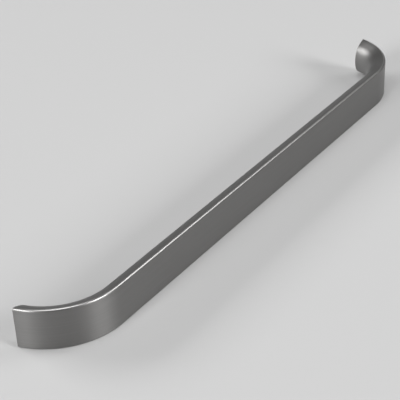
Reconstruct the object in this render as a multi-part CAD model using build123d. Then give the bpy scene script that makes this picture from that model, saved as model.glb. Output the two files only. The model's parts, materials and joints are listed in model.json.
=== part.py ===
from build123d import *
from math import cos, radians, sin, sqrt, tan
import os

# Oven door handle: one solid metal bar of a constant section, flat in front and crowned behind.
# Its two ends bend back to the door, where they are cut off flat and tapped for the fixing screws.
# Sizes are in millimetres. The origin is on the door's surface, midway between the two screws.
# +X runs along the bar, +Y points into the door and +Z is up.

# The bow
screw_spacing = 430.0        # between the two screws that hold the handle
stand_off = 41.0             # from the door to the bar's flat front
bend_radius = 54.0           # at the front of each bend

# The section
bar_height = 30.0            # over the rounded front edges
bar_thickness = 13.8         # from the flat front to the top of the crown behind
edge_radius = 1.4            # of the long front edges
flank_taper = 19.0           # degrees by which the top and the bottom fall away behind those edges
flank_radius = 50.0          # of the top and the bottom, which curve on towards the back
shoulder_radius = 10.0       # where the top and the bottom turn into the back
crown_radius = 22.0          # of the back

# The ends
end_edge_break = 0.3         # chamfer around each cut end
thread_core_radius = 1.65    # tapping hole of an M4 screw
thread_depth = 8.0           # of the full thread
drill_tip_angle = 118.0      # degrees, at the bottom of the hole
mouth_chamfer = 0.4          # at the mouth of the hole
cutter_margin = 1.0          # by which the hole's cutter stands out of the end

# Each bend turns about an upright axis, behind the door's surface where the bend is larger than the
# stand-off. A handle that stands off further than its bend has a straight leg to make up the rest.
bend_axis_y = bend_radius - stand_off
leg_length = max(-bend_axis_y, 0.0)
door_side = max(bend_axis_y, 0.0)
inner_radius = bend_radius - bar_thickness
outer_reach = sqrt(bend_radius**2 - door_side**2)
inner_reach = sqrt(inner_radius**2 - door_side**2)

# The screw sits in the middle of the cut end, and so sets how long the straight bar is.
screw_x = screw_spacing / 2
bend_start_x = screw_x - (outer_reach + inner_reach) / 2


def bar_section():
    """The bar's section, with its front on the Y axis and its back towards +X."""
    edge_z = bar_height / 2 - edge_radius
    flank_drop = radians(flank_taper)
    flank_x = edge_radius - (flank_radius - edge_radius) * sin(flank_drop)
    flank_z = edge_z - (flank_radius - edge_radius) * cos(flank_drop)
    blank = Rectangle(bar_thickness, 2 * bar_height, align=(Align.MIN, Align.CENTER))
    top = Pos(flank_x, flank_z) * Circle(flank_radius)
    bottom = Pos(flank_x, -flank_z) * Circle(flank_radius)
    crown = Pos(bar_thickness - crown_radius, 0) * Circle(crown_radius)
    section = blank & top & bottom & crown
    section = fillet(section.vertices().group_by(Axis.X)[0], edge_radius)
    return fillet(section.vertices().group_by(Axis.X)[-1], shoulder_radius)


def bow():
    """The straight bar and its two bends, cut off at the door's surface."""
    section = Plane.YZ * Pos(-stand_off, 0) * bar_section()
    bend_axis = Axis((bend_start_x, bend_axis_y, 0), (0, 0, 1))
    end = revolve(Pos(bend_start_x, 0, 0) * section, bend_axis, 90)
    if leg_length > 0:
        end += extrude(end.faces().sort_by(Axis.Y)[-1], leg_length)
    bar = extrude(section, bend_start_x, both=True) + [end, mirror(end, Plane.YZ)]
    bar = split(bar, Plane.XZ, keep=Keep.TOP)
    cut_ends = bar.faces().sort_by(Axis.Y)[-2:]
    return chamfer(cut_ends.edges(), end_edge_break)


def screw_hole():
    """A drilled and countersunk blind hole, with its mouth at the origin and open towards +Y."""
    tip_length = thread_core_radius / tan(radians(drill_tip_angle / 2))
    rim = thread_core_radius + mouth_chamfer + cutter_margin
    half_profile = Polygon(
        (0, cutter_margin),
        (0, -thread_depth - tip_length),
        (thread_core_radius, -thread_depth),
        (thread_core_radius, -mouth_chamfer),
        (rim, cutter_margin),
        align=None,
    )
    return revolve(half_profile, Axis.Y)


def handle():
    """The whole handle."""
    holes = [Pos(side * screw_x, 0, 0) * screw_hole() for side in (-1, 1)]
    return bow() - holes


os.makedirs("parts", exist_ok=True)
export_step(handle(), "parts/handle.step")
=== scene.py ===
"""The finished oven door handle: a brushed satin metal bow with machined and tapped ends."""

import json
from math import acos, atan2, copysign, cos, hypot, pi, radians, sin, sqrt, tan

import bmesh
import bpy
from bpy.props import FloatProperty, FloatVectorProperty, PointerProperty
from mathutils import Matrix, Vector
from mathutils.geometry import intersect_sphere_sphere_2d


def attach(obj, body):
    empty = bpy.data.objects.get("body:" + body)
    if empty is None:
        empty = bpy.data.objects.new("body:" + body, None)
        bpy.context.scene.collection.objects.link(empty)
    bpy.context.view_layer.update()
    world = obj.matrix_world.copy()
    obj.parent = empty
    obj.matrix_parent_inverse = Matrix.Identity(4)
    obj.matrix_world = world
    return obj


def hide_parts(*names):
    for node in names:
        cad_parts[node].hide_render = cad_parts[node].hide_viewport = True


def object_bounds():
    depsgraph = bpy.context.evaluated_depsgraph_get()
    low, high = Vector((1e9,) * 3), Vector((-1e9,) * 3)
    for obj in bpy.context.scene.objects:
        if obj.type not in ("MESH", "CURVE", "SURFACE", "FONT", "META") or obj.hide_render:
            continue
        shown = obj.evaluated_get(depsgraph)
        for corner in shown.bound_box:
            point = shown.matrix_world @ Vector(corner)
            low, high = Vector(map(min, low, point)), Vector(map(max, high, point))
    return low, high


bl_info = {
    "name": "Oven Door Handle",
    "version": (1, 0, 0),
    "blender": (4, 5, 0),
    "location": "3D View > Sidebar > Handle",
    "description": "Builds a brushed metal oven door handle, with its screw threads and a plain stage",
    "category": "Object",
}

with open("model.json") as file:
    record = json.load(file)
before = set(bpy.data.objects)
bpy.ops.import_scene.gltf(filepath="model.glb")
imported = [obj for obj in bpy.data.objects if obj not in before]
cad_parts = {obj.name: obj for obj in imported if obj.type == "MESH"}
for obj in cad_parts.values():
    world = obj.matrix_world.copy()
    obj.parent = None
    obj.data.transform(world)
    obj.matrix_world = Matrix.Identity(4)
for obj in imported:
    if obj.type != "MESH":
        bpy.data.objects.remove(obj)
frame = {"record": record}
cad_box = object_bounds()

MM = 0.001
METAL_SLOT = frame["record"]["materials"][0]
SCREWS = next(mount for mount in frame["record"]["mounts"] if mount["kind"] == "bolt_pattern")

# How finely the curves are drawn
EDGE_STEPS = 14
FLANK_STEPS = 4
SHOULDER_STEPS = 8
CROWN_STEPS = 5
BEND_STEPS = 72
HOLE_STEPS = 48
THREAD_STEPS = 32

# Points closer together than this are one, and edges that turn by more than this are shaded as sharp
WELD = 1e-7
SHARP_ANGLE = radians(28)

# Half the width of the thread's ridge at its crest and at its root, in pitches, and how far the root is let
# into the wall
CREST_SHARE, ROOT_SHARE = 1 / 8, 7 / 16
LET_IN = 0.02 * MM

# Material slots of the bar, the attribute with its unbent places, and the flat map laid out for baking, which
# also gives its grain a direction
BRUSHED, CUT = 0, 1
UNBENT = "unbent"
FLAT_MAP = "OFBake"

# Where the bar lies on the flat map and how large it is there, and the row that the ends and holes lie in,
# with how far each is from the row's middle and how large it is
BAR_PATCH, BAR_SIZE = Vector((0.5, 0.4)), Vector((0.98, 0.76))
ENDS_ROW = Vector((0.5, 0.9))
END_ASIDE, END_SIZE = Vector((0.33, 0)), 0.3
HOLE_ASIDE, HOLE_SIZE = Vector((0.08, 0)), 0.14

# How ragged a tool's lines and streaks are, by how much each varies the roughness, and their middle level
LINE_DETAIL, STREAK_DETAIL = 2.0, 1.0
LINE_GLOSS, STREAK_GLOSS = 0.06, 0.03
MARKS_MIDDLE = 0.5

# Brushing spreads highlights across the grain, which is this part of a turn away from it
ACROSS_GRAIN = 0.25

# How far below the top of a front edge its burnish and painted highlight begin and are full, and how far
# behind the front they start to fade and end, in edge radii
BURNISH_HIGHLIGHT_FROM, BURNISH_HIGHLIGHT_FULL = 0.6, 0.15
BURNISH_HIGHLIGHT_FADES, BURNISH_HIGHLIGHT_ENDS = 0.9, 1.5


# Kinds of property

def length(name, default, description):
    """A size in metres."""
    return FloatProperty(name=name, description=description, default=default, min=0.0, unit="LENGTH",
                         precision=5)


def angle(name, default, description):
    """An angle, shown in degrees."""
    return FloatProperty(name=name, description=description, default=default, subtype="ANGLE")


def share(name, default, description):
    """A value from 0 to 1."""
    return FloatProperty(name=name, description=description, default=default, min=0.0, max=1.0,
                         subtype="FACTOR")


def colour(name, default, description):
    """A linear colour."""
    return FloatVectorProperty(name=name, description=description, default=default, min=0.0, max=1.0,
                               size=3, subtype="COLOR")


# What a user can change

class HandleSizes(bpy.types.PropertyGroup):
    """The handle's sizes."""

    screw_spacing: length("Screw Spacing", SCREWS["dims"]["spacing_x_mm"] * MM, "Between the tapped holes")
    stand_off: length("Stand-off", -cad_box[0].y, "From the door to the flat front")
    bend_radius: length("Bend Radius", 54 * MM, "At the front of each bend")
    bar_height: length("Bar Height", cad_box[1].z - cad_box[0].z, "Over the rounded front edges")
    bar_thickness: length("Bar Thickness", 13.8 * MM, "From the flat front to the top of the crown")
    edge_radius: length("Edge Radius", 1.4 * MM, "Of the long front edges")
    flank_taper: angle("Flank Taper", radians(19), "By which the top and bottom fall away behind the edges")
    flank_radius: length("Flank Radius", 50 * MM, "Of the top and the bottom")
    shoulder_radius: length("Shoulder Radius", 10 * MM, "Where the top and the bottom turn into the back")
    crown_radius: length("Crown Radius", 22 * MM, "Of the back")
    end_edge_break: length("End Edge Break", 0.3 * MM, "Chamfer around each cut end")
    thread_core_radius: length("Thread Core Radius", SCREWS["dims"]["hole_r_mm"] * MM, "Of the tapping hole")
    thread_height: length("Thread Height", 0.35 * MM, "From the thread's crest to its root")
    thread_pitch: length("Thread Pitch", 0.7 * MM, "From one turn to the next")
    thread_depth: length("Thread Depth", 8 * MM, "Of the tapped hole above its drilled tip")
    drill_tip_angle: angle("Drill Tip Angle", radians(118), "At the bottom of the hole")
    mouth_chamfer: length("Mouth Chamfer", 0.4 * MM, "At the mouth of the hole")


class HandleFinish(bpy.types.PropertyGroup):
    """The handle's metal: the brushed bar, its burnished front edges with their painted highlight, and its
    cut ends.
    """

    metal: colour("Metal", METAL_SLOT["base_color"], "Colour of the brushed bar")
    roughness: share("Roughness", 0.42, "Of the brushed bar")
    highlight_spread: share("Highlight Spread", 0.75, "How far brushing spreads highlights across the grain")
    grain_contrast: share("Grain Contrast", 0.18, "By which the brush lines darken and lighten the metal")
    grain_width: length("Grain Width", 0.22 * MM, "Of one brush line")
    grain_length: length("Grain Length", 28 * MM, "Of one brush line")
    grain_depth: length("Grain Depth", 0.003 * MM, "Of the brush lines")
    streak_width: length("Streak Width", 0.6 * MM, "Of the broader streaks over the brush lines")
    streak_length: length("Streak Length", 50 * MM, "Of the broader streaks over the brush lines")
    # The edge metal is brighter than the bar's metal: a painted highlight along the burnished front edges
    edge_metal_and_highlight: colour("Edge Metal And Highlight", (0.62, 0.615, 0.606), "Colour of the burnished front edges, brightened as a painted highlight")
    edge_roughness: share("Edge Roughness", 0.3, "Of the burnished front edges")
    cut_metal: colour("Cut Metal", (0.46, 0.455, 0.445), "Colour of the freshly cut ends")
    cut_roughness: share("Cut Roughness", 0.36, "Of the cut ends")
    cut_contrast: share("Cut Contrast", 0.15, "By which the cutter's lines darken and lighten the metal")
    cut_line_width: length("Cut Line Width", 0.25 * MM, "Of one of the cutter's lines")
    cut_line_length: length("Cut Line Length", 12 * MM, "Of one of the cutter's lines")
    cut_line_depth: length("Cut Line Depth", 0.01 * MM, "Of the cutter's lines")
    cut_streak_width: length("Cut Streak Width", 4 * MM, "Of the broader streaks over the cutter's lines")
    cut_streak_length: length("Cut Streak Length", 6 * MM, "Of the broader streaks over the cutter's lines")


class StageLook(bpy.types.PropertyGroup):
    """The floor and the light."""

    floor: colour("Floor", (0.58, 0.58, 0.58), "Colour of the floor")
    sky: colour("Surroundings", (0.12, 0.12, 0.12), "Even light from all around")
    floor_size: length("Floor Size", 40.0, "Along each side")
    floor_roughness: share("Floor Roughness", 0.9, "Of the floor's paint")
    floor_gloss: share("Floor Gloss", 0.1, "How strongly the floor's paint mirrors the lamps")


# Places worked out from the sizes

def bend_axis_y(sizes):
    """How far behind the door's surface the bends' axes are."""
    return sizes.bend_radius - sizes.stand_off


def bend_start_x(sizes):
    """Where the straight bar ends. The screw sits in the middle of the cut end, and so sets it."""
    inner_radius = sizes.bend_radius - sizes.bar_thickness
    outer_reach = sqrt(sizes.bend_radius**2 - bend_axis_y(sizes)**2)
    inner_reach = sqrt(inner_radius**2 - bend_axis_y(sizes)**2)
    return sizes.screw_spacing / 2 - (outer_reach + inner_reach) / 2


def screw_place(side, sizes):
    """Where the screw enters the right end, whose side is 1, or the left end, whose side is -1."""
    return Vector((side * sizes.screw_spacing / 2, 0, 0))


def mouth_radius(sizes):
    """The radius of a screw hole at its mouth."""
    return sizes.thread_core_radius + sizes.mouth_chamfer


def tip_length(sizes):
    """The length of the cone that the drill leaves at the bottom of a screw hole."""
    return sizes.thread_core_radius / tan(sizes.drill_tip_angle / 2)


# The bar's shape

def only(kind, items):
    """The vertices, edges or faces among some geometry."""
    return [item for item in items if isinstance(item, kind)]


def edges_among(bm, verts):
    """The edges that have both their ends among some vertices."""
    return [edge for edge in bm.edges if all(vert in verts for vert in edge.verts)]


def leave_cut(faces):
    """Leaves some faces as bare cut metal."""
    for face in faces:
        face.material_index = CUT


def bearing(start, end):
    """The direction from one point of the section to another, turning from +Y to +Z."""
    return atan2(end.z - start.z, end.y - start.y)


def turned_on(bm, tip, centre, turn, steps):
    """Draws a line on from its tip, round a centre in the section's plane, and returns its new tip."""
    arc = bmesh.ops.spin(bm, geom=[tip], cent=centre, axis=(1, 0, 0), angle=turn, steps=steps)
    return only(bmesh.types.BMVert, arc["geom_last"])[0]


def draw_section(bm, sizes):
    """Draws the bar's section at mid-length: flat in front, with curved flanks and a crowned back."""
    front = -sizes.stand_off
    edge_centre = Vector((0, front + sizes.edge_radius, sizes.bar_height / 2 - sizes.edge_radius))
    crown_centre = Vector((0, front + sizes.bar_thickness - sizes.crown_radius, 0))
    flank_start = pi / 2 - sizes.flank_taper
    flank_arm = (sizes.flank_radius - sizes.edge_radius) * Vector((0, cos(flank_start), sin(flank_start)))
    flank_centre = edge_centre - flank_arm
    meetings = intersect_sphere_sphere_2d(
        flank_centre.yz, sizes.flank_radius - sizes.shoulder_radius,
        crown_centre.yz, sizes.crown_radius - sizes.shoulder_radius,
    )
    if meetings[0] is None:
        raise ValueError("the shoulder doesn't fit between the flank and the crown")
    shoulder_centre = Vector((0, *max(meetings, key=lambda point: point.x)))
    shoulder_start = bearing(flank_centre, shoulder_centre)
    crown_start = bearing(crown_centre, shoulder_centre)

    foot = bmesh.ops.create_vert(bm, co=(0, front, 0))["vert"][0]
    tip = bmesh.ops.extrude_vert_indiv(bm, verts=[foot])["verts"][0]
    bmesh.ops.translate(bm, verts=[tip], vec=(0, 0, edge_centre.z))
    tip = turned_on(bm, tip, edge_centre, flank_start - pi, EDGE_STEPS)
    tip = turned_on(bm, tip, flank_centre, shoulder_start - flank_start, FLANK_STEPS)
    tip = turned_on(bm, tip, shoulder_centre, crown_start - shoulder_start, SHOULDER_STEPS)
    turned_on(bm, tip, crown_centre, -crown_start, CROWN_STEPS)
    upper_half = bm.verts[:] + bm.edges[:]
    bmesh.ops.mirror(bm, geom=upper_half, matrix=Matrix(), merge_dist=WELD, axis="Z")


def sweep_half(bm, sizes):
    """Carries the section along the straight half and round the bend, and returns the end's edges."""
    start, axis_y = bend_start_x(sizes), bend_axis_y(sizes)
    if axis_y < 0:
        raise ValueError("the bend is smaller than the stand-off")
    straight = bmesh.ops.extrude_edge_only(bm, edges=bm.edges[:])["geom"]
    section = only(bmesh.types.BMVert, straight)
    bmesh.ops.translate(bm, verts=section, vec=(start, 0, 0))
    last_arm = axis_y + sizes.end_edge_break
    turn = acos(last_arm / sizes.bend_radius)
    bend = bmesh.ops.spin(bm, geom=section + edges_among(bm, section), cent=(start, axis_y, 0),
                          axis=(0, 0, 1), angle=turn, steps=BEND_STEPS)
    # Each point stays on its own circle and stops where that reaches the cut, so the end is flat.
    for vert in bm.verts:
        beyond, arm = vert.co.x - start, axis_y - vert.co.y
        if beyond > WELD:
            radius = hypot(beyond, arm)
            turned = atan2(beyond, arm) * acos(last_arm / radius) / turn
            vert.co.x = start + radius * sin(turned)
            vert.co.y = axis_y - radius * cos(turned)
    return only(bmesh.types.BMEdge, bend["geom_last"])


def sunk(bm, rim, centre, radius, new_radius, drop):
    """Carries a round rim on to another radius and deeper, and returns the new rim."""
    made = bmesh.ops.extrude_edge_only(bm, edges=rim)["geom"]
    verts = only(bmesh.types.BMVert, made)
    widen = new_radius / radius
    bmesh.ops.scale(bm, verts=verts, vec=(widen, 1, widen), space=Matrix.Translation(-centre))
    bmesh.ops.translate(bm, verts=verts, vec=(0, -drop, 0))
    leave_cut(only(bmesh.types.BMFace, made))
    return edges_among(bm, verts)


def drill(bm, mouth, centre, sizes):
    """The tapped hole: its mouth, its bore at the thread's root, and the drilled tip under it."""
    core, root = sizes.thread_core_radius, sizes.thread_core_radius + sizes.thread_height
    mouth_depth = mouth_radius(sizes) - root
    bore_depth = sizes.thread_depth - sizes.thread_height - mouth_depth
    rim = sunk(bm, mouth, centre, mouth_radius(sizes), root, mouth_depth)
    rim = sunk(bm, rim, centre, root, root, bore_depth)
    rim = sunk(bm, rim, centre, root, core, sizes.thread_height)
    tip = sunk(bm, rim, centre, core, core, tip_length(sizes))
    tip_verts = list({vert for edge in tip for vert in edge.verts})
    bottom = sum((vert.co for vert in tip_verts), Vector()) / len(tip_verts)
    bmesh.ops.pointmerge(bm, verts=tip_verts, merge_co=bottom)


def close_end(bm, rim, sizes):
    """Closes the right end's cut, with its edge broken and the screw's hole in its middle."""
    cap = bmesh.ops.edgeloop_fill(bm, edges=rim, mat_nr=CUT)["faces"][0]
    cap.normal_update()
    if cap.normal.y < 0:
        cap.normal_flip()
    chamfer = bmesh.ops.inset_individual(bm, faces=[cap], thickness=sizes.end_edge_break,
                                         depth=sizes.end_edge_break, use_even_offset=True)
    leave_cut(chamfer["faces"])
    outline = cap.edges[:]
    bmesh.ops.delete(bm, geom=[cap], context="FACES_ONLY")
    centre = screw_place(1, sizes)
    place = Matrix.Translation(centre) @ Matrix.Rotation(pi / 2, 4, "X")
    circle = bmesh.ops.create_circle(bm, segments=HOLE_STEPS, radius=mouth_radius(sizes), matrix=place)
    mouth = edges_among(bm, circle["verts"])
    filled = bmesh.ops.triangle_fill(bm, edges=outline + mouth, use_beauty=True, normal=(0, 1, 0))
    leave_cut(only(bmesh.types.BMFace, filled["geom"]))
    drill(bm, mouth, centre, sizes)


# The bar laid flat

def unbent(point, sizes):
    """Where a point lies once the bends are laid straight: along the bar, behind its front, and up."""
    start = bend_start_x(sizes)
    beyond, arm = abs(point.x) - start, bend_axis_y(sizes) - point.y
    if beyond <= 0:
        return Vector((point.x, point.y + sizes.stand_off, point.z))
    along = start + sizes.bend_radius * atan2(beyond, arm)
    return Vector((copysign(along, point.x), sizes.bend_radius - hypot(beyond, arm), point.z))


def on_bar(place, up, reach, sizes):
    """A point of the bar laid flat: along its length, and round its section from the middle of the front."""
    around = atan2(abs(place.z), sizes.bar_thickness / 2 - place.y)
    spread = Vector((place.x / (2 * reach), copysign(around, up) / (2 * pi)))
    return BAR_PATCH + spread * BAR_SIZE


def on_end(point, side, sizes):
    """A point of a cut end laid flat, from where it lies beside the screw."""
    return ENDS_ROW + side * END_ASIDE + point.zx * END_SIZE / sizes.bar_height


def in_hole(point, side, sizes):
    """A point of a screw hole laid flat as a disc, with the hole's mouth at the rim and its tip inside."""
    depth = sizes.thread_depth + tip_length(sizes)
    outward = (1 + point.y / depth) * HOLE_SIZE / 2
    return ENDS_ROW + side * HOLE_ASIDE + point.zx.normalized() * outward


def map_surface(bm, sizes):
    """Writes the unbent places, and lays the bar, each cut end and each hole out flat on one map."""
    places = bm.verts.layers.float_vector.new(UNBENT)
    flat = bm.loops.layers.uv.new(FLAT_MAP)
    for vert in bm.verts:
        vert[places] = unbent(vert.co, sizes)
    reach = max(vert[places].x for vert in bm.verts)
    for face in bm.faces:
        centre = face.calc_center_median()
        side = copysign(1, centre.x)
        screw = screw_place(side, sizes)
        drilled = all((vert.co - screw).xz.length < mouth_radius(sizes) + WELD for vert in face.verts)
        for loop in face.loops:
            if face.material_index == BRUSHED:
                spot = on_bar(loop.vert[places], centre.z, reach, sizes)
            elif drilled:
                spot = in_hole(loop.vert.co - screw, side, sizes)
            else:
                spot = on_end(loop.vert.co - screw, side, sizes)
            loop[flat].uv = spot


# Threads, and what makes a mesh a piece

def wind_thread(bm, side, sizes):
    """Winds one hole's thread down from under its mouth, by as many whole turns as the hole is tapped for."""
    core, pitch = sizes.thread_core_radius, sizes.thread_pitch
    wall = core + sizes.thread_height + LET_IN
    crest, root = CREST_SHARE * pitch, ROOT_SHARE * pitch
    top = sizes.mouth_chamfer + root
    turns = int((sizes.thread_depth - sizes.thread_height - top) / pitch)
    centre = screw_place(side, sizes) - Vector((0, top, 0))
    corners = [(core, crest), (core, -crest), (wall, -root), (wall, root)]
    verts = [bm.verts.new(centre + Vector((out, up, 0))) for out, up in corners]
    profile = bmesh.ops.contextual_create(bm, geom=verts)["faces"][0]
    bmesh.ops.spin(bm, geom=verts + profile.edges[:] + [profile], cent=centre, axis=(0, 1, 0),
                   dvec=(0, -pitch / THREAD_STEPS, 0), angle=-2 * pi * turns, steps=turns * THREAD_STEPS)


def new_piece(name, bm, materials):
    """Makes a smooth-shaded piece of a finished mesh. It rides on the handle's one body."""
    mesh = bpy.data.meshes.new(name)
    bm.to_mesh(mesh)
    bm.free()
    for material in materials:
        mesh.materials.append(material)
    mesh.shade_smooth()
    mesh.set_sharp_from_angle(angle=SHARP_ANGLE)
    piece = bpy.data.objects.new(name, mesh)
    bpy.context.scene.collection.objects.link(piece)
    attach(piece, "root")
    return piece


# Shader nodes

def feed(tree, socket, value):
    """Sets a socket to a plain value, or links it to another node's output."""
    if isinstance(value, bpy.types.NodeSocket):
        tree.links.new(value, socket)
    else:
        socket.default_value = value


def math_node(tree, operation, *values):
    """The result of some arithmetic on values, each a number or another node's output."""
    made = tree.nodes.new("ShaderNodeMath")
    made.operation = operation
    for socket, value in zip(made.inputs, values):
        feed(tree, socket, value)
    return made.outputs["Value"]


def mixed(tree, kind, mask, first, second):
    """A mix of two values or colours: the first where a mask is 0, and the second where it is 1."""
    made = tree.nodes.new("ShaderNodeMix")
    made.data_type = kind
    tree.links.new(mask, made.inputs["Factor"])
    ends = [socket for socket in made.inputs if socket.name in ("A", "B") and socket.enabled]
    for socket, value in zip(ends, (first, second)):
        feed(tree, socket, value)
    return next(socket for socket in made.outputs if socket.enabled)


def ranged(tree, value, spread):
    """A value from 0 to 1 spread evenly about 0."""
    made = tree.nodes.new("ShaderNodeMapRange")
    made.inputs["To Min"].default_value = -spread
    made.inputs["To Max"].default_value = spread
    tree.links.new(value, made.inputs["Value"])
    return made.outputs["Result"]


def stepped(tree, value, start, end):
    """0 up to one value and 1 from another on, with a smooth rise between them."""
    made = tree.nodes.new("ShaderNodeMapRange")
    made.interpolation_type = "SMOOTHSTEP"
    made.inputs["From Min"].default_value = start
    made.inputs["From Max"].default_value = end
    tree.links.new(value, made.inputs["Value"])
    return made.outputs["Result"]


def unbent_place(tree):
    """The bar's own places, laid straight."""
    attribute = tree.nodes.new("ShaderNodeAttribute")
    attribute.attribute_name = UNBENT
    return attribute.outputs["Vector"]


def object_place(tree):
    """Places in the handle's own frame."""
    return tree.nodes.new("ShaderNodeTexCoord").outputs["Object"]


# Metals

def tool_marks_group():
    """The fine lines that a brush or a cutter leaves, and the broader streaks over them."""
    name = "Tool Marks"
    if name in bpy.data.node_groups:
        return bpy.data.node_groups[name]
    group = bpy.data.node_groups.new(name, "ShaderNodeTree")
    face = group.interface
    face.new_socket("Place", in_out="INPUT", socket_type="NodeSocketVector")
    face.new_socket("Line Size", in_out="INPUT", socket_type="NodeSocketVector")
    face.new_socket("Streak Size", in_out="INPUT", socket_type="NodeSocketVector")
    face.new_socket("Lines", in_out="OUTPUT", socket_type="NodeSocketFloat")
    face.new_socket("Streaks", in_out="OUTPUT", socket_type="NodeSocketFloat")
    entry = group.nodes.new("NodeGroupInput")
    leave = group.nodes.new("NodeGroupOutput")
    marks = (("Line Size", "Lines", LINE_DETAIL), ("Streak Size", "Streaks", STREAK_DETAIL))
    for size, result, detail in marks:
        scaled = group.nodes.new("ShaderNodeVectorMath")
        scaled.operation = "DIVIDE"
        group.links.new(entry.outputs["Place"], scaled.inputs[0])
        group.links.new(entry.outputs[size], scaled.inputs[1])
        noise = group.nodes.new("ShaderNodeTexNoise")
        noise.inputs["Scale"].default_value = 1.0
        noise.inputs["Detail"].default_value = detail
        group.links.new(scaled.outputs["Vector"], noise.inputs["Vector"])
        group.links.new(noise.outputs["Fac"], leave.inputs[result])
    return group


def marked_metal(name, place_of, metal, roughness, contrast, line_size, streak_size, line_depth):
    """A metal with tool marks in its colour, gloss and surface. Returns its material and shader."""
    material = bpy.data.materials.new(name)
    material.use_nodes = True
    tree = material.node_tree
    shader = tree.nodes["Principled BSDF"]
    shader.inputs["Metallic"].default_value = 1.0
    marks = tree.nodes.new("ShaderNodeGroup")
    marks.node_tree = tool_marks_group()
    tree.links.new(place_of(tree), marks.inputs["Place"])
    marks.inputs["Line Size"].default_value = line_size
    marks.inputs["Streak Size"].default_value = streak_size
    lines, streaks = marks.outputs["Lines"], marks.outputs["Streaks"]

    average = math_node(tree, "MULTIPLY", math_node(tree, "ADD", lines, streaks), 1 / 2)
    dark = (*(channel * (1 - contrast) for channel in metal), 1)
    light = (*(min(channel * (1 + contrast), 1) for channel in metal), 1)
    tree.links.new(mixed(tree, "RGBA", average, dark, light), shader.inputs["Base Color"])

    gloss = math_node(tree, "ADD", ranged(tree, lines, LINE_GLOSS), ranged(tree, streaks, STREAK_GLOSS))
    tree.links.new(math_node(tree, "ADD", gloss, roughness), shader.inputs["Roughness"])

    bump = tree.nodes.new("ShaderNodeBump")
    bump.inputs["Strength"].default_value = 1.0
    bump.inputs["Distance"].default_value = line_depth
    tree.links.new(lines, bump.inputs["Height"])
    tree.links.new(bump.outputs["Normal"], shader.inputs["Normal"])
    return material, shader


def set_under_mask(tree, mask, socket, value):
    """Gives a socket a plain value where a mask is 1, and leaves what feeds it where the mask is 0."""
    kind = "RGBA" if socket.type == "RGBA" else "FLOAT"
    tree.links.new(mixed(tree, kind, mask, socket.links[0].from_socket, value), socket)


def burnish_and_highlight_edges(tree, shader, finish, sizes):
    """Rubs the rounded front edges smooth and glossier, and paints them a brighter metal as a painted
    highlight.
    """
    place = tree.nodes.new("ShaderNodeSeparateXYZ")
    tree.links.new(unbent_place(tree), place.inputs["Vector"])
    top, radius = sizes.bar_height / 2, sizes.edge_radius
    height = math_node(tree, "ABSOLUTE", place.outputs["Z"])
    high = stepped(tree, height, top - BURNISH_HIGHLIGHT_FROM * radius, top - BURNISH_HIGHLIGHT_FULL * radius)
    behind = stepped(tree, place.outputs["Y"], BURNISH_HIGHLIGHT_FADES * radius, BURNISH_HIGHLIGHT_ENDS * radius)
    edge = math_node(tree, "MULTIPLY", high, math_node(tree, "SUBTRACT", 1.0, behind))
    bump = shader.inputs["Normal"].links[0].from_node
    # Painted highlight: a brighter metal colour where the edge mask is full
    set_under_mask(tree, edge, shader.inputs["Base Color"], (*finish.edge_metal_and_highlight, 1))
    set_under_mask(tree, edge, shader.inputs["Roughness"], finish.edge_roughness)
    set_under_mask(tree, edge, bump.inputs["Height"], MARKS_MIDDLE)


def brushed_metal(finish, sizes):
    """Satin metal brushed along the bar, so that its highlights spread round the section."""
    material, shader = marked_metal(
        "brushed_metal", unbent_place, finish.metal, finish.roughness,
        contrast=finish.grain_contrast,
        line_size=(finish.grain_length, finish.grain_width, finish.grain_width),
        streak_size=(finish.streak_length, finish.streak_width, finish.streak_width),
        line_depth=finish.grain_depth,
    )
    tree = material.node_tree
    shader.inputs["Anisotropic"].default_value = finish.highlight_spread
    shader.inputs["Anisotropic Rotation"].default_value = ACROSS_GRAIN
    tangent = tree.nodes.new("ShaderNodeTangent")
    tangent.direction_type = "UV_MAP"
    tangent.uv_map = FLAT_MAP
    tree.links.new(tangent.outputs["Tangent"], shader.inputs["Tangent"])
    burnish_and_highlight_edges(tree, shader, finish, sizes)
    return material


def cut_metal(finish):
    """The bare metal of the sawn ends and the tapped holes, with the cutter's level lines."""
    name = "cut_metal"
    if name in bpy.data.materials:
        return bpy.data.materials[name]
    material, _ = marked_metal(
        name, object_place, finish.cut_metal, finish.cut_roughness,
        contrast=finish.cut_contrast,
        line_size=(finish.cut_line_length, finish.cut_line_length, finish.cut_line_width),
        streak_size=(finish.cut_streak_length, finish.cut_streak_length, finish.cut_streak_width),
        line_depth=finish.cut_line_depth,
    )
    return material


# Pieces

class OBJECT_OT_add_handle_bar(bpy.types.Operator):
    """Sweep the brushed bar with its bends, cut ends and screw holes"""

    bl_idname = "object.add_handle_bar"
    bl_label = "Add Handle Bar"

    def execute(self, context):
        sizes, finish = context.scene.handle_sizes, context.scene.handle_finish
        bm = bmesh.new()
        draw_section(bm, sizes)
        close_end(bm, sweep_half(bm, sizes), sizes)
        right_half = bm.verts[:] + bm.edges[:] + bm.faces[:]
        bmesh.ops.mirror(bm, geom=right_half, matrix=Matrix(), merge_dist=WELD, axis="X")
        bmesh.ops.recalc_face_normals(bm, faces=bm.faces[:])
        map_surface(bm, sizes)
        bar = new_piece("bar", bm, [brushed_metal(finish, sizes), cut_metal(finish)])
        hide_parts("handle")
        weighted = bar.modifiers.new("Even Shading", "WEIGHTED_NORMAL")
        weighted.keep_sharp = True
        return {"FINISHED"}


class OBJECT_OT_add_screw_threads(bpy.types.Operator):
    """Wind a thread into each screw hole"""

    bl_idname = "object.add_screw_threads"
    bl_label = "Add Screw Threads"

    def execute(self, context):
        sizes, finish = context.scene.handle_sizes, context.scene.handle_finish
        bm = bmesh.new()
        for side in (-1, 1):
            wind_thread(bm, side, sizes)
        bmesh.ops.recalc_face_normals(bm, faces=bm.faces[:])
        new_piece("screw_threads", bm, [cut_metal(finish)])
        return {"FINISHED"}


# Stage

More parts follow.
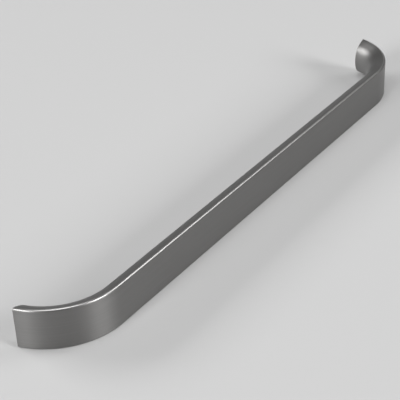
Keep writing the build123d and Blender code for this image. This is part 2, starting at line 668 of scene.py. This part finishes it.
def floor_paint(look):
    """A plain matte paint for the floor."""
    material = bpy.data.materials.new("floor_paint")
    material.use_nodes = True
    shader = material.node_tree.nodes["Principled BSDF"]
    shader.inputs["Base Color"].default_value = (*look.floor, 1)
    shader.inputs["Roughness"].default_value = look.floor_roughness
    shader.inputs["Specular IOR Level"].default_value = look.floor_gloss
    return material


def lay_floor(look):
    """Lays a wide floor under the handle."""
    bm = bmesh.new()
    place = Matrix.Translation((0, 0, cad_box[0].z))
    bmesh.ops.create_grid(bm, x_segments=1, y_segments=1, size=look.floor_size / 2, matrix=place)
    mesh = bpy.data.meshes.new("floor")
    bm.to_mesh(mesh)
    bm.free()
    mesh.materials.append(floor_paint(look))
    floor = bpy.data.objects.new("floor", mesh)
    bpy.context.scene.collection.objects.link(floor)


def even_light(look):
    """The same soft light from all around."""
    world = bpy.data.worlds.new("surroundings")
    world.use_nodes = True
    world.node_tree.nodes["Background"].inputs["Color"].default_value = (*look.sky, 1)
    bpy.context.scene.world = world


def soft_box(name, target, azimuth, elevation, distance, width, height, power):
    """A soft lamp that faces a point. Its azimuth turns from the handle's front towards its left end."""
    turn, lift = radians(azimuth), radians(elevation)
    away = Vector((-sin(turn) * cos(lift), -cos(turn) * cos(lift), sin(lift)))
    light = bpy.data.lights.new(name, "AREA")
    light.shape = "RECTANGLE"
    light.size = width
    light.size_y = height
    light.energy = power
    lamp = bpy.data.objects.new(name, light)
    lamp.matrix_world = Matrix.LocRotScale(target + away * distance, away.to_track_quat("Z", "Y"), None)
    lamp.visible_camera = False
    bpy.context.scene.collection.objects.link(lamp)


def hang_lamps():
    """Hangs the soft lamps that the bends, the front edges and the far end's back mirror."""
    near_bend = Vector((-0.2, -0.02, 0))
    far_end = Vector((0.21, -0.01, 0))
    soft_box("front_light", near_bend, azimuth=-7, elevation=22, distance=7.0,
             width=2.6, height=2.2, power=320)
    soft_box("left_light", near_bend, azimuth=92, elevation=22, distance=7.0,
             width=2.6, height=2.2, power=287)
    soft_box("right_light", near_bend, azimuth=-57, elevation=44, distance=5.3,
             width=2.0, height=2.0, power=42)
    soft_box("far_light", far_end, azimuth=-63, elevation=30, distance=5.3,
             width=2.0, height=2.0, power=4)
    soft_box("top_light", near_bend, azimuth=0, elevation=90, distance=5.3,
             width=2.6, height=2.6, power=66)
    soft_box("back_light", far_end, azimuth=170, elevation=28, distance=7.0,
             width=4.2, height=2.1, power=240)
    soft_box("horizon_light", near_bend, azimuth=-128, elevation=14, distance=6.6,
             width=5.3, height=2.4, power=12)


def photo_camera():
    """A camera that looks down along the handle from its left end."""
    place = Vector((-0.61083, -0.42591, 0.43991))
    turn, drop, roll = radians(53.933), radians(32.122), radians(-2.656)
    camera = bpy.data.cameras.new("camera")
    camera.sensor_width = 36
    camera.lens = 106.156
    ahead = Vector((sin(turn) * cos(drop), cos(turn) * cos(drop), -sin(drop)))
    level = Vector((cos(turn), -sin(turn), 0))
    above = level.cross(ahead)
    right = cos(roll) * level + sin(roll) * above
    up = right.cross(ahead)
    view = bpy.data.objects.new("camera", camera)
    view.matrix_world = Matrix.Translation(place) @ Matrix((right, up, -ahead)).transposed().to_4x4()
    bpy.context.scene.collection.objects.link(view)
    bpy.context.scene.camera = view


class SCENE_OT_add_handle_stage(bpy.types.Operator):
    """Set the pale floor, the soft light and the camera"""

    bl_idname = "scene.add_handle_stage"
    bl_label = "Add Handle Stage"

    def execute(self, context):
        context.scene.view_settings.view_transform = "Standard"
        lay_floor(context.scene.stage_look)
        even_light(context.scene.stage_look)
        hang_lamps()
        photo_camera()
        return {"FINISHED"}


# Panel and registration

class VIEW3D_PT_handle(bpy.types.Panel):
    """The handle's pieces, sizes and finish"""

    bl_label = "Oven Door Handle"
    bl_space_type = "VIEW_3D"
    bl_region_type = "UI"
    bl_category = "Handle"

    def draw(self, context):
        for operator in (OBJECT_OT_add_handle_bar, OBJECT_OT_add_screw_threads, SCENE_OT_add_handle_stage):
            self.layout.operator(operator.bl_idname)
        for group in (context.scene.handle_sizes, context.scene.handle_finish, context.scene.stage_look):
            box = self.layout.box()
            for name in group.bl_rna.properties.keys():
                if name not in ("rna_type", "name"):
                    box.prop(group, name)


CLASSES = (HandleSizes, HandleFinish, StageLook, OBJECT_OT_add_handle_bar, OBJECT_OT_add_screw_threads,
           SCENE_OT_add_handle_stage, VIEW3D_PT_handle)


def register():
    for cls in CLASSES:
        bpy.utils.register_class(cls)
    bpy.types.Scene.handle_sizes = PointerProperty(type=HandleSizes)
    bpy.types.Scene.handle_finish = PointerProperty(type=HandleFinish)
    bpy.types.Scene.stage_look = PointerProperty(type=StageLook)


def unregister():
    del bpy.types.Scene.stage_look
    del bpy.types.Scene.handle_finish
    del bpy.types.Scene.handle_sizes
    for cls in reversed(CLASSES):
        bpy.utils.unregister_class(cls)


def main():
    """Builds the handle and its stage."""
    register()
    bpy.ops.object.add_handle_bar()
    bpy.ops.object.add_screw_threads()
    bpy.ops.scene.add_handle_stage()


if __name__ == "__main__":
    main()
